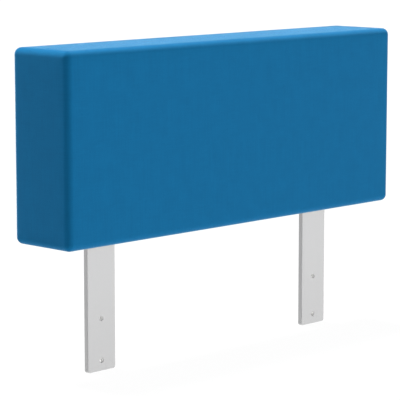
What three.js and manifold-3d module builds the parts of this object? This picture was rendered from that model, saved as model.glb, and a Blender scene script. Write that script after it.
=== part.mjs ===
// Desk privacy panel: an upholstered box on two flat steel straps that bolt to the edge of a desk.
// Millimetres, +Z up, front face towards -Y. The origin is midway between the straps' feet, under the
// middle of the panel. Every layer is worked out inwards from the outer size of the cover.
import * as THREE from "three";
import { RoundedBoxGeometry } from "three/addons/geometries/RoundedBoxGeometry.js";
import { mergeVertices } from "three/addons/utils/BufferGeometryUtils.js";
import Module from "manifold-3d";

const wasm = await Module();
wasm.setup();

// ---- Driving dimensions -------------------------------------------------------------------------
const PANEL = { width: 900, depth: 150, height: 360, radius: 15 };
const DROP = 250; // how far the straps stand out below the panel
const GAP = 0.3; // air between pieces that touch
const FABRIC = 1.2;
const WADDING = 2;
const FOAM = 18;
const BOARD = 5; // hardboard on both faces of the frame
const TIMBER = 20; // thickness of the rails, the end boards and the centre stile
const HEM = 55; // how far the cover is turned in under the panel
const RETURN = 24; // how far the cover comes round onto the back
const SEAM = 0.5; // between the cover and its back panel
const STRAP = { width: 70, thickness: 10, length: 500, corner: 5, front: 2, spacing: 600, hole: 9 };
const STRAP_HOLES = { desk: [20, 100], post: [310, 390, 470] }; // heights above the foot
const POST_WIDTH = 110;
const POST_SCREW = 35; // the posts' rail screws stand this far outside the bolts
const BLOCK = { leg: 45, depth: 44 };
const BOLT = { shank: 8, length: 60, head: 14, headHeight: 4.4, socket: 5, socketDepth: 2.6 };
const WASHER = { outer: 20, inner: 8.8, thickness: 1.6 };
const TEE_NUT = { flange: 22, flangeHeight: 1.5, barrel: 10, length: 12, bore: 8.6 };
const SCREW = { shank: 4, head: 8, headHeight: 3.6, length: 55 };
const DUST = { thickness: 0.8, inset: 22, slot: 2 }; // slot: room all round a strap
const SMOOTH = { edge: 3, corner: 4, hole: 16, bolt: 12, screw: 8 }; // facets

// ---- Places worked out from them ----------------------------------------------------------------
const HALF = { x: PANEL.width / 2, y: PANEL.depth / 2 };
const BOTTOM = DROP;
const TOP = DROP + PANEL.height;
const UNDERSIDE = BOTTOM + FABRIC + GAP; // where foam and timber start
const WADDING_IN = FABRIC + GAP; // insets from the outside of the cover
const FOAM_IN = WADDING_IN + WADDING + GAP;
const BOARD_IN = FOAM_IN + FOAM + GAP;
const FRAME_IN = BOARD_IN + BOARD + GAP;
const FRAME = {
  x: HALF.x - BOARD_IN,
  y: HALF.y - FRAME_IN,
  low: UNDERSIDE,
  high: TOP - BOARD_IN,
};
const INSIDE = { low: FRAME.low + TIMBER + GAP, high: FRAME.high - TIMBER - GAP };
const BOARD_Y = HALF.y - BOARD_IN;
const STRAP_BACK = STRAP.front + STRAP.thickness;
const STRAP_X = STRAP.spacing / 2;
const POST_FRONT = -FRAME.y;
const TEE_NUT_SEAT = TEE_NUT.flangeHeight + GAP;

// ---- Materials ----------------------------------------------------------------------------------
function finish(color, roughness, metalness = 0) {
  return new THREE.MeshStandardMaterial({ color, roughness, metalness });
}
const materials = {
  fabric: finish(0x1a6b9a, 0.9),
  dustCloth: finish(0x1b1b1d, 0.95),
  wadding: finish(0xeeeeea, 1),
  foam: finish(0xe6dcae, 1),
  hardboard: finish(0x8a6038, 0.7),
  pine: finish(0xd8b27a, 0.65),
  paint: finish(0xd0d0d0, 0.45, 0.1),
  zinc: finish(0xb9bcc0, 0.35, 1),
};

// ---- Solids -------------------------------------------------------------------------------------
function solidOf(geometry) {
  const bare = geometry.index ? geometry.toNonIndexed() : geometry.clone();
  for (const name of Object.keys(bare.attributes)) {
    if (name !== "position") bare.deleteAttribute(name);
  }
  const merged = mergeVertices(bare, 1e-4);
  return new wasm.Manifold(
    new wasm.Mesh({
      numProp: 3,
      vertProperties: merged.attributes.position.array,
      triVerts: new Uint32Array(merged.index.array),
    }),
  );
}

function geometryOf(solid) {
  const mesh = solid.getMesh();
  const geometry = new THREE.BufferGeometry();
  geometry.setAttribute("position", new THREE.BufferAttribute(mesh.vertProperties, 3));
  geometry.setIndex(new THREE.BufferAttribute(mesh.triVerts, 1));
  geometry.computeVertexNormals();
  return geometry;
}

function box(low, high) {
  const size = high.map((value, k) => value - low[k]);
  const middle = high.map((value, k) => (value + low[k]) / 2);
  return new THREE.BoxGeometry(...size).translate(...middle);
}

// The panel's outer block, taken in by inset on every side but the underside, which is set apart.
function panelBlock(inset, underside = BOTTOM + inset) {
  const width = PANEL.width - 2 * inset;
  const depth = PANEL.depth - 2 * inset;
  const high = TOP - inset;
  const radius = PANEL.radius - inset;
  return new RoundedBoxGeometry(width, depth, high - underside, SMOOTH.edge, radius).translate(
    0,
    0,
    (high + underside) / 2,
  );
}

// A turned piece on a Y axis. The profile is pairs of radius and height along the axis, going up.
function turned(profile, sides) {
  const points = profile.map(([radius, along]) => new THREE.Vector2(radius, along));
  return new THREE.LatheGeometry(points, sides);
}

function cylinderAlongY(diameter, from, to, sides) {
  const geometry = new THREE.CylinderGeometry(diameter / 2, diameter / 2, to - from, sides);
  return geometry.translate(0, (from + to) / 2, 0);
}

// ---- Cover, wadding and dust cloth --------------------------------------------------------------
function coverWrap() {
  const underOpening = box(
    [-(HALF.x - HEM), -(HALF.y - HEM), BOTTOM - FABRIC],
    [HALF.x - HEM, HALF.y - HEM, BOTTOM + 2 * FABRIC],
  );
  const backOpening = box(
    [-(HALF.x - RETURN), HALF.y - 2 * FABRIC, BOTTOM + RETURN],
    [HALF.x - RETURN, HALF.y + FABRIC, TOP - RETURN],
  );
  const shell = solidOf(panelBlock(0)).subtract(solidOf(panelBlock(FABRIC)));
  return geometryOf(shell.subtract(solidOf(underOpening)).subtract(solidOf(backOpening)));
}

function coverBackPanel() {
  const edge = RETURN + SEAM;
  return box(
    [-(HALF.x - edge), HALF.y - FABRIC, BOTTOM + edge],
    [HALF.x - edge, HALF.y, TOP - edge],
  );
}

// The wadding is open underneath and stops where the lower edge starts to turn in.
function waddingWrap() {
  const shell = solidOf(panelBlock(WADDING_IN)).subtract(solidOf(panelBlock(WADDING_IN + WADDING)));
  const below = box([-HALF.x, -HALF.y, BOTTOM], [HALF.x, HALF.y, BOTTOM + PANEL.radius]);
  return geometryOf(shell.subtract(solidOf(below)));
}

function dustCover() {
  const x = HALF.x - DUST.inset;
  const y = HALF.y - DUST.inset;
  const top = BOTTOM - GAP;
  let sheet = solidOf(box([-x, -y, top - DUST.thickness], [x, y, top]));
  for (const side of [-1, 1]) {
    const reach = STRAP.width / 2 + DUST.slot;
    const slot = box(
      [side * STRAP_X - reach, STRAP.front - DUST.slot, BOTTOM - 5],
      [side * STRAP_X + reach, STRAP_BACK + DUST.slot, BOTTOM + 5],
    );
    sheet = sheet.subtract(solidOf(slot));
  }
  return geometryOf(sheet);
}

// ---- Foam: every piece is cut from one block with the panel's rounded edges ----------------------
function foamPiece(low, high) {
  return geometryOf(solidOf(panelBlock(FOAM_IN, UNDERSIDE)).intersect(solidOf(box(low, high))));
}

function foamPieces() {
  const face = HALF.y - FOAM_IN - FOAM;
  const under = FRAME.high + GAP; // the top strip's lower face
  const ends = FRAME.x + GAP;
  return {
    foam_front: foamPiece([-HALF.x, -HALF.y, BOTTOM], [HALF.x, -face, TOP]),
    foam_back: foamPiece([-HALF.x, face, BOTTOM], [HALF.x, HALF.y, TOP]),
    foam_top: foamPiece([-HALF.x, -BOARD_Y, under], [HALF.x, BOARD_Y, TOP]),
    foam_end_left: foamPiece([-HALF.x, -BOARD_Y, BOTTOM], [-ends, BOARD_Y, FRAME.high]),
    foam_end_right: foamPiece([ends, -BOARD_Y, BOTTOM], [HALF.x, BOARD_Y, FRAME.high]),
  };
}

// ---- Screws that hold the rails to the uprights -------------------------------------------------
// Each one is driven along Z through a rail: into: +1 upwards from the bottom rail, -1 downwards.
const SCREW_PLACES = {
  end_left: { x: -(FRAME.x - TIMBER / 2), depths: { front: -25, back: 25 } },
  end_right: { x: FRAME.x - TIMBER / 2, depths: { front: -25, back: 25 } },
  centre: { x: 0, depths: { mid: 0 } },
  post_left: { x: -(STRAP_X + POST_SCREW), depths: { mid: POST_FRONT / 2 } },
  post_right: { x: STRAP_X + POST_SCREW, depths: { mid: POST_FRONT / 2 } },
};

function screwProfile(room) {
  const shank = SCREW.shank / 2 + room;
  const tip = -SCREW.length - room;
  return [
    [0, tip],
    [shank, tip + SCREW.shank],
    [shank, -SCREW.headHeight],
    [SCREW.head / 2 + room, 0],
  ];
}

function screw(place) {
  return placedScrew(turned([...screwProfile(0), [0, 0]], SMOOTH.screw), place);
}

// The hole for a screw: its own shape with air round it, open above the head.
function screwHole(place) {
  const mouth = SCREW.head / 2 + GAP;
  const above = 1;
  const profile = [...screwProfile(GAP), [mouth, above], [0, above]];
  return placedScrew(turned(profile, SMOOTH.screw), place);
}

function placedScrew(geometry, place) {
  geometry.rotateX(place.into > 0 ? -Math.PI / 2 : Math.PI / 2);
  return geometry.translate(place.x, place.y, place.z);
}

function screws() {
  const found = {};
  for (const [joint, { x, depths }] of Object.entries(SCREW_PLACES)) {
    for (const [where, y] of Object.entries(depths)) {
      const name = where === "mid" ? joint : `${joint}_${where}`;
      found[`screw_top_${name}`] = { x, y, z: FRAME.high - GAP, into: -1 };
      found[`screw_bottom_${name}`] = { x, y, z: FRAME.low + GAP, into: 1 };
    }
  }
  return found;
}

function withoutScrews(solid, places) {
  let left = solid;
  for (const place of Object.values(places)) {
    left = left.subtract(solidOf(screwHole(place)));
  }
  return left;
}

// ---- Timber frame -------------------------------------------------------------------------------
function rails(places) {
  const ends = { top: [FRAME.high - TIMBER, FRAME.high], bottom: [FRAME.low, FRAME.low + TIMBER] };
  const made = {};
  for (const [name, [low, high]] of Object.entries(ends)) {
    let rail = solidOf(box([-FRAME.x, -FRAME.y, low], [FRAME.x, FRAME.y, high]));
    if (name === "bottom") {
      for (const side of [-1, 1]) {
        const reach = STRAP.width / 2 + 1;
        const slot = box(
          [side * STRAP_X - reach, STRAP.front - 1, low - 1],
          [side * STRAP_X + reach, STRAP_BACK + 1, high + 1],
        );
        rail = rail.subtract(solidOf(slot));
      }
    }
    made[`rail_${name}`] = geometryOf(withoutScrews(rail, places));
  }
  return made;
}

function uprights(places) {
  const boards = {
    end_board_left: [-FRAME.x, -FRAME.x + TIMBER],
    end_board_right: [FRAME.x - TIMBER, FRAME.x],
    centre_stile: [-TIMBER / 2, TIMBER / 2],
  };
  const made = {};
  for (const [name, [low, high]] of Object.entries(boards)) {
    const board = box([low, -FRAME.y, INSIDE.low], [high, FRAME.y, INSIDE.high]);
    made[name] = geometryOf(withoutScrews(solidOf(board), places));
  }
  return made;
}

// A post fills the space in front of its strap, and is bored for the bolts and their tee nuts.
function strapPost(side, places) {
  const x = side * STRAP_X;
  const block = box(
    [x - POST_WIDTH / 2, POST_FRONT, INSIDE.low],
    [x + POST_WIDTH / 2, STRAP.front - GAP, INSIDE.high],
  );
  let post = withoutScrews(solidOf(block), places);
  for (const height of STRAP_HOLES.post) {
    const bores = [
      [STRAP.hole, POST_FRONT - 1, STRAP.front + 1],
      [TEE_NUT.barrel + 2 * GAP, POST_FRONT - 1, POST_FRONT + TEE_NUT.length + 1],
      [TEE_NUT.flange + 2 * GAP, POST_FRONT - 1, POST_FRONT + TEE_NUT_SEAT + GAP],
    ];
    for (const [diameter, from, to] of bores) {
      const bore = cylinderAlongY(diameter, from, to, SMOOTH.bolt).translate(x, 0, height);
      post = post.subtract(solidOf(bore));
    }
  }
  return geometryOf(post);
}

function cornerBlock(side, up) {
  const x = side * (FRAME.x - TIMBER - GAP);
  const z = up > 0 ? INSIDE.high : INSIDE.low;
  const corner = [
    [x, z],
    [x - side * BLOCK.leg, z],
    [x, z - up * BLOCK.leg],
  ];
  const outline = new THREE.Shape(corner.map(([px, pz]) => new THREE.Vector2(px, pz)));
  const block = new THREE.ExtrudeGeometry(outline, { depth: BLOCK.depth, bevelEnabled: false });
  return block.rotateX(Math.PI / 2).translate(0, BLOCK.depth / 2, 0);
}

// ---- Steel straps and their bolts ---------------------------------------------------------------
function legStrap(side) {
  const outline = new THREE.Shape();
  const half = STRAP.width / 2;
  const r = STRAP.corner;
  const arcs = [
    [half - r, r, -0.5],
    [half - r, STRAP.length - r, 0],
    [-half + r, STRAP.length - r, 0.5],
    [-half + r, r, 1],
  ];
  for (const [x, z, quarter] of arcs) {
    outline.absarc(x, z, r, quarter * Math.PI, (quarter + 0.5) * Math.PI, false);
  }
  const flat = { depth: STRAP.thickness, bevelEnabled: false, curveSegments: SMOOTH.corner };
  const bar = new THREE.ExtrudeGeometry(outline, flat).rotateX(Math.PI / 2);
  let strap = solidOf(bar.translate(side * STRAP_X, STRAP_BACK, 0));
  for (const height of [...STRAP_HOLES.desk, ...STRAP_HOLES.post]) {
    const bore = cylinderAlongY(STRAP.hole, STRAP.front - 1, STRAP_BACK + 1, SMOOTH.hole);
    strap = strap.subtract(solidOf(bore.translate(side * STRAP_X, 0, height)));
  }
  return geometryOf(strap);
}

// Button-head socket screw with its head behind the strap.
function strapBolt() {
  const seat = STRAP_BACK + WASHER.thickness + 2 * GAP;
  const radius = BOLT.shank / 2;
  const head = BOLT.head / 2;
  const body = turned(
    [
      [0, seat - BOLT.length],
      [radius - 1, seat - BOLT.length],
      [radius, seat - BOLT.length + 1],
      [radius, seat],
      [head, seat],
      [head * 0.9, seat + BOLT.headHeight * 0.6],
      [head * 0.55, seat + BOLT.headHeight],
      [0, seat + BOLT.headHeight],
    ],
    SMOOTH.bolt,
  );
  const across = BOLT.socket / Math.cos(Math.PI / 6);
  const top = seat + BOLT.headHeight;
  const socket = cylinderAlongY(across, top - BOLT.socketDepth, top + 1, 6);
  return geometryOf(solidOf(body).subtract(solidOf(socket)));
}

function ringAlongY(outer, inner, from, to) {
  const ring = solidOf(cylinderAlongY(outer, from, to, SMOOTH.bolt));
  return ring.subtract(solidOf(cylinderAlongY(inner, from - 1, to + 1, SMOOTH.bolt)));
}

function strapWasher() {
  const from = STRAP_BACK + GAP;
  return geometryOf(ringAlongY(WASHER.outer, WASHER.inner, from, from + WASHER.thickness));
}

function teeNut() {
  const from = POST_FRONT + GAP;
  const neck = from + TEE_NUT.flangeHeight;
  const flange = ringAlongY(TEE_NUT.flange, TEE_NUT.bore, from, neck);
  return geometryOf(flange.add(ringAlongY(TEE_NUT.barrel, TEE_NUT.bore, from, from + TEE_NUT.length)));
}

// ---- Assembly -----------------------------------------------------------------------------------
const panel = new THREE.Group();

function add(name, geometry, material, place = [0, 0, 0]) {
  const mesh = new THREE.Mesh(geometry, material);
  mesh.name = name;
  mesh.position.set(...place);
  panel.add(mesh);
}

add("cover_wrap", coverWrap(), materials.fabric);
add("cover_back_panel", coverBackPanel(), materials.fabric);
add("dust_cover", dustCover(), materials.dustCloth);
add("wadding_wrap", waddingWrap(), materials.wadding);
for (const [name, geometry] of Object.entries(foamPieces())) add(name, geometry, materials.foam);

for (const [name, side] of [["board_front", -1], ["board_back", 1]]) {
  const faces = [side * (BOARD_Y - BOARD), side * BOARD_Y].sort((a, b) => a - b);
  const board = box([-FRAME.x, faces[0], FRAME.low], [FRAME.x, faces[1], FRAME.high]);
  add(name, board, materials.hardboard);
}

const screwPlaces = screws();
for (const [name, geometry] of Object.entries({ ...rails(screwPlaces), ...uprights(screwPlaces) })) {
  add(name, geometry, materials.pine);
}
for (const [name, place] of Object.entries(screwPlaces)) {
  add(name, screw(place), materials.zinc);
}

for (const [hand, side] of [["left", -1], ["right", 1]]) {
  add(`strap_post_${hand}`, strapPost(side, screwPlaces), materials.pine);
  add(`corner_block_top_${hand}`, cornerBlock(side, 1), materials.pine);
  add(`corner_block_bottom_${hand}`, cornerBlock(side, -1), materials.pine);
  add(`leg_strap_${hand}`, legStrap(side), materials.paint);
  STRAP_HOLES.post.forEach((height, k) => {
    const place = [side * STRAP_X, 0, height];
    add(`strap_bolt_${hand}_${k + 1}`, strapBolt(), materials.zinc, place);
    add(`strap_washer_${hand}_${k + 1}`, strapWasher(), materials.zinc, place);
    add(`tee_nut_${hand}_${k + 1}`, teeNut(), materials.zinc, place);
  });
}

export default panel;
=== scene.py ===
"""Desk privacy panel: the upholstered box, its straps and all that it holds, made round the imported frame."""
import math

import bmesh
import bpy
from bpy.props import FloatProperty, FloatVectorProperty, PointerProperty
from mathutils import Matrix, Vector, noise
from mathutils.bvhtree import BVHTree
from mathutils.interpolate import poly_3d_calc


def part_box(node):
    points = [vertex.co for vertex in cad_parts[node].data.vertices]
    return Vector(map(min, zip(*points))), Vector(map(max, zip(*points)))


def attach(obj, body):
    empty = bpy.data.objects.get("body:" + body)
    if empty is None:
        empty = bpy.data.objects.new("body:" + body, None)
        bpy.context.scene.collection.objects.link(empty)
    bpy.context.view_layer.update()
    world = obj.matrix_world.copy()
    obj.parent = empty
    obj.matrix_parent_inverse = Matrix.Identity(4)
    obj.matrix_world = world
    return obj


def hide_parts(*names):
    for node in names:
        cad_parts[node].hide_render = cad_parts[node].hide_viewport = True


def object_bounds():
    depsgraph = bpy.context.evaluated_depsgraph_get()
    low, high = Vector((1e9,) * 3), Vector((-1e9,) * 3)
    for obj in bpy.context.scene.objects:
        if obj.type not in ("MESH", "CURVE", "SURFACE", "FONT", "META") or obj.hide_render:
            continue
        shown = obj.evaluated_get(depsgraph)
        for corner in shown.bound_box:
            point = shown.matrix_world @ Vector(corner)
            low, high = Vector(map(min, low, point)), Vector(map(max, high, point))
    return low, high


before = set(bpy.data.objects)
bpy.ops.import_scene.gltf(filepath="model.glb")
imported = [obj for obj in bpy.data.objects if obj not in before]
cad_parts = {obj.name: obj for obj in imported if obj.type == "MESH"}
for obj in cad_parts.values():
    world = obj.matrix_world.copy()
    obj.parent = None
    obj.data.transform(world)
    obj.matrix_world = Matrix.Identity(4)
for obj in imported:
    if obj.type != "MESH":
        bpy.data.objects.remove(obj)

bl_info = {
    "name": "Desk privacy panel",
    "version": (1, 0, 0),
    "blender": (4, 5, 0),
    "location": "3D View > Sidebar > Desk panel",
    "description": "Makes an upholstered desk privacy panel on two drilled steel straps",
    "category": "Object",
}

CAD_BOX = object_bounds()
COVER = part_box("cover_wrap")
BACK_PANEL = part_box("cover_back_panel")
DUST_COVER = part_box("dust_cover")
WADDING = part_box("wadding_wrap")
STRAPS = {hand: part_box(f"leg_strap_{hand}") for hand in ("left", "right")}
FOAM_PIECES = ("foam_front", "foam_back", "foam_top", "foam_end_left", "foam_end_right")
MM = 0.001
HALF_PI = math.pi / 2
LOST = 1e-6  # smaller than any size on the object


# ---- Settings ----
class CoverSettings(bpy.types.PropertyGroup):
    """Sizes of the fitted cover and its back panel."""

    radius: FloatProperty(
        name="Edge radius",
        description="Outer radius of the panel's edges",
        default=13.5 * MM,
        unit="LENGTH",
    )
    thickness: FloatProperty(
        name="Cloth thickness",
        description="Thickness of the upholstery cloth",
        default=1.2 * MM,
        unit="LENGTH",
    )
    crown: FloatProperty(
        name="Crown",
        description="How far the foam pushes the middle of the front face out",
        default=1.2 * MM,
        unit="LENGTH",
    )
    ease: FloatProperty(
        name="Edge ease",
        description="How far a face falls before its rounded edge",
        default=0.35 * MM,
        unit="LENGTH",
    )
    ease_width: FloatProperty(
        name="Ease width",
        description="Width of the strip that falls away",
        default=16 * MM,
        unit="LENGTH",
    )
    pressure: FloatProperty(
        name="Foam pressure", description="Pressure under the cloth while it settles", default=4.0
    )
    roll: FloatProperty(
        name="Seam roll",
        description="Width over which cloth turns down into a seam",
        default=2.6 * MM,
        unit="LENGTH",
    )
    sink: FloatProperty(
        name="Seam depth", description="Depth of the seam on the back", default=1.4 * MM, unit="LENGTH"
    )
    pucker: FloatProperty(
        name="Pucker",
        description="Height of the small ripples beside the hand seam",
        default=0.35 * MM,
        unit="LENGTH",
    )
    fold: FloatProperty(
        name="Corner fold",
        description="Height of the folded corners under the cover",
        default=0.9 * MM,
        unit="LENGTH",
    )
    wadding: FloatProperty(
        name="Wadding radius",
        description="Outer radius of the wadding's edges",
        default=13.5 * MM,
        unit="LENGTH",
    )


class ClothSettings(bpy.types.PropertyGroup):
    """Look of the upholstery cloth."""

    colour: FloatVectorProperty(
        name="Colour",
        description="Colour of the yarn",
        default=(0.006, 0.154, 0.354),
        subtype="COLOR",
        min=0,
        max=1,
    )
    pitch: FloatProperty(
        name="Yarn pitch",
        description="Distance from one yarn to the next",
        default=1.1 * MM,
        unit="LENGTH",
    )
    slub: FloatProperty(
        name="Slub",
        description="How much the colour changes along the yarns",
        default=0.1,
        subtype="FACTOR",
    )
    relief: FloatProperty(
        name="Relief", description="Height of the weave", default=0.05 * MM, unit="LENGTH"
    )


class StrapSettings(bpy.types.PropertyGroup):
    """Sizes and look of the drilled straps."""

    corner: FloatProperty(
        name="Corner radius", description="Radius of the strap's corners", default=5 * MM, unit="LENGTH"
    )
    rounding: FloatProperty(
        name="Edge rounding",
        description="Rounding of the painted edges",
        default=1.0 * MM,
        unit="LENGTH",
    )
    hole: FloatProperty(name="Hole", description="Diameter of the bolt holes", default=9 * MM, unit="LENGTH")
    first: FloatProperty(
        name="First hole",
        description="Height of the lowest hole above the foot",
        default=20 * MM,
        unit="LENGTH",
    )
    spacing: FloatProperty(
        name="Hole spacing",
        description="Distance between holes in each group",
        default=80 * MM,
        unit="LENGTH",
    )
    inside: FloatProperty(
        name="Inside holes",
        description="Height of the first hole inside the panel",
        default=310 * MM,
        unit="LENGTH",
    )
    colour: FloatVectorProperty(
        name="Paint",
        description="Colour of the powder coat",
        default=(0.566, 0.566, 0.568),
        subtype="COLOR",
        min=0,
        max=1,
    )


class FixingSettings(bpy.types.PropertyGroup):
    """Stitches and staples."""

    stitch_pitch: FloatProperty(
        name="Stitch pitch", description="Distance between hand stitches", default=9 * MM, unit="LENGTH"
    )
    thread: FloatProperty(
        name="Thread", description="Diameter of the sewing thread", default=0.55 * MM, unit="LENGTH"
    )
    staple_pitch: FloatProperty(
        name="Staple pitch", description="Distance between staples", default=48 * MM, unit="LENGTH"
    )
    staple_width: FloatProperty(
        name="Staple width", description="Outer width of a staple", default=10 * MM, unit="LENGTH"
    )
    staple_wire: FloatProperty(
        name="Staple wire", description="Diameter of the staple wire", default=0.8 * MM, unit="LENGTH"
    )


class StageSettings(bpy.types.PropertyGroup):
    """Camera, floor and light."""

    azimuth: FloatProperty(
        name="Azimuth",
        description="Camera's turn round the panel",
        default=math.radians(-45.845),
        subtype="ANGLE",
    )
    elevation: FloatProperty(
        name="Elevation",
        description="Camera's height as an angle",
        default=math.radians(8.442),
        subtype="ANGLE",
    )
    distance: FloatProperty(
        name="Distance", description="From the camera to the panel", default=3.9563, unit="LENGTH"
    )
    lens: FloatProperty(name="Lens", description="Focal length in millimetres", default=183.06)
    aim_right: FloatProperty(
        name="Aim right",
        description="How far right of the panel's middle it aims",
        default=-0.0269,
        unit="LENGTH",
    )
    aim_up: FloatProperty(
        name="Aim up",
        description="How far above the panel's middle it aims",
        default=-0.13735,
        unit="LENGTH",
    )
    floor: FloatProperty(name="Floor size", description="Width of the floor", default=80.0, unit="LENGTH")
    grey: FloatProperty(
        name="Floor grey", description="Lightness of the floor", default=0.04, subtype="FACTOR"
    )
    glow: FloatProperty(name="Floor glow", description="Light that the floor gives out itself", default=0.98)
    sky: FloatProperty(name="Sky", description="Strength of the light from all round", default=0.1)
    top: FloatProperty(name="Top light", description="Strength of the light from above", default=6.8)
    right: FloatProperty(name="Right light", description="Strength of the light on the front", default=3.1)
    left: FloatProperty(name="Left light", description="Strength of the light on the left end", default=0.57)


# ---- Sheets and shells ----
class Surface:
    """An open sheet: its points, the direction that each one faces, its quads, and each quad's place on
    the flat cloth, which the weave follows."""

    def __init__(self):
        self.points, self.normals, self.quads, self.plan = [], [], [], []

    def raised(self, height):
        """Moves each point along its normal by height(point, normal)."""
        self.points = [p + n * height(p, n) for p, n in zip(self.points, self.normals)]
        return self

    def rim(self):
        """The edges that belong to one quad only, in that quad's own direction."""
        seen = {}
        for quad in self.quads:
            for a, b in zip(quad, quad[1:] + quad[:1]):
                seen[(a, b)] = (b, a) not in seen
                if (b, a) in seen:
                    seen[(b, a)] = False
        return [edge for edge, alone in seen.items() if alone]

    def thickened(self, name, thickness):
        """A closed mesh object with this sheet as its outer side."""
        count = len(self.points)
        inner = [p - n * thickness for p, n in zip(self.points, self.normals)]
        faces = [list(q) for q in self.quads] + [[i + count for i in reversed(q)] for q in self.quads]
        plan = [list(c) for c in self.plan] + [list(reversed(c)) for c in self.plan]
        where = {i: c for q, cs in zip(self.quads, self.plan) for i, c in zip(q, cs)}
        for a, b in self.rim():
            faces.append([b, a, a + count, b + count])
            plan.append([where[b], where[a], where[a], where[b]])
        piece = mesh_object(name, self.points + inner, faces)
        layer = piece.data.attributes.new("cloth_plan", "FLOAT_VECTOR", "CORNER")
        layer.data.foreach_set("vector", [x for cs in plan for u, v in cs for x in (u, v, 0.0)])
        return piece


def placed(name, data):
    """A new object in the scene."""
    piece = bpy.data.objects.new(name, data)
    bpy.context.scene.collection.objects.link(piece)
    return piece


def evaluated_mesh(piece):
    """A new mesh of an object as its modifiers or its curve settings shape it."""
    depsgraph = bpy.context.evaluated_depsgraph_get()
    return bpy.data.meshes.new_from_object(piece.evaluated_get(depsgraph), depsgraph=depsgraph)


def mesh_object(name, points, faces):
    mesh = bpy.data.meshes.new(name)
    mesh.from_pydata([tuple(p) for p in points], [], faces)
    mesh.validate()
    mesh.update()
    mesh.shade_smooth()
    return placed(name, mesh)


def spaced(low, high, marks, fine, coarse, band):
    """Values from low to high that include every mark: fine steps within band of an end, then coarse."""
    stops = sorted({low, high, *(m for m in (low + band, high - band, *marks) if low < m < high)})
    values = [low]
    for a, b in zip(stops, stops[1:]):
        if b - a < LOST:
            continue
        near = min((a + b) / 2 - low, high - (a + b) / 2) < band
        count = max(1, math.ceil((b - a) / (fine if near else coarse) - LOST))
        values += [a + (b - a) * k / count for k in range(1, count + 1)]
    return values


def rounded_stations(low, high, radius, marks, fine, coarse, band, arc_steps):
    """Values along one axis of a box whose edges are rounded: each arc's steps turn by equal angles."""
    arc = [radius * math.tan(math.pi / 4 * k / arc_steps) for k in range(1, arc_steps + 1)]
    flat = spaced(low + radius, high - radius, marks, fine, coarse, band)
    return [low + radius - a for a in reversed(arc)] + flat + [high - radius + a for a in arc]


def along_cloth(value, low, high, radius):
    """Distance from the middle of a face to value, measured over the cloth."""
    middle, flat = (low + high) / 2, (high - low) / 2 - radius
    out = abs(value - middle)
    over = out if out <= flat else flat + radius * math.atan((out - flat) / radius)
    return math.copysign(over, value - middle)


def rounded_box(low, high, radius, marks, keep, fine, coarse, band, arc_steps):
    """The skin of a box with rounded edges. marks gives places on each axis that get a line of points,
    and keep(axis, end, middle of the quad) says which quads there are."""
    lines = [
        rounded_stations(low[k], high[k], radius, marks[k], fine, coarse, band, arc_steps) for k in range(3)
    ]
    half = [(high[k] - low[k]) / 2 for k in range(3)]
    reach = [half[k] - radius + radius * math.pi / 4 for k in range(3)]
    surface, index = Surface(), {}

    def point(key):
        if key not in index:
            p = Vector([lines[k][key[k]] for k in range(3)])
            core = Vector([min(max(p[k], low[k] + radius), high[k] - radius) for k in range(3)])
            normal = (p - core).normalized()
            index[key] = len(surface.points)
            surface.points.append(core + normal * radius)
            surface.normals.append(normal)
        return index[key]

    def place(key, axis, end):
        """Where a point lies on the cut cloth: front in the middle, ends at its sides, top above it."""
        s = [along_cloth(lines[k][key[k]], low[k], high[k], radius) for k in range(3)]
        if axis == 0:
            return (end * (reach[0] + reach[1] + s[1]), s[2])
        if axis == 2:
            return (s[0], end * (reach[2] + reach[1] + s[1]))
        return (s[0], s[2] + (0 if end < 0 else 4 * reach[2]))

    for axis in range(3):
        across, up = [k for k in range(3) if k != axis]
        for end in (-1, 1):
            fixed = 0 if end < 0 else len(lines[axis]) - 1
            for i in range(len(lines[across]) - 1):
                for j in range(len(lines[up]) - 1):
                    corners = []
                    for a, b in ((i, j), (i + 1, j), (i + 1, j + 1), (i, j + 1)):
                        key = [0, 0, 0]
                        key[axis], key[across], key[up] = fixed, a, b
                        corners.append(tuple(key))
                    if (end > 0) == (axis == 1):
                        corners.reverse()
                    middle = [sum(lines[k][c[k]] for c in corners) / 4 for k in range(3)]
                    if keep(axis, end, middle):
                        surface.quads.append([point(c) for c in corners])
                        surface.plan.append([place(c, axis, end) for c in corners])
    return surface


def flat_sheet(level, axis, end, across, up, skip=lambda a, b: False):
    """A flat sheet at level on one axis, facing end, over two lists of values. skip leaves quads out."""
    others = [k for k in range(3) if k != axis]
    surface = Surface()
    normal = Vector([end if k == axis else 0 for k in range(3)])
    for b in up:
        for a in across:
            p = Vector()
            p[axis], p[others[0]], p[others[1]] = level, a, b
            surface.points.append(p)
            surface.normals.append(normal.copy())
    row = len(across)
    for j in range(len(up) - 1):
        for i in range(row - 1):
            if skip((across[i] + across[i + 1]) / 2, (up[j] + up[j + 1]) / 2):
                continue
            quad = [j * row + i, j * row + i + 1, (j + 1) * row + i + 1, (j + 1) * row + i]
            if (end > 0) == (axis == 1):
                quad.reverse()
            surface.quads.append(quad)
            surface.plan.append([tuple(surface.points[n][k] for k in others) for n in quad])
    return surface


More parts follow.
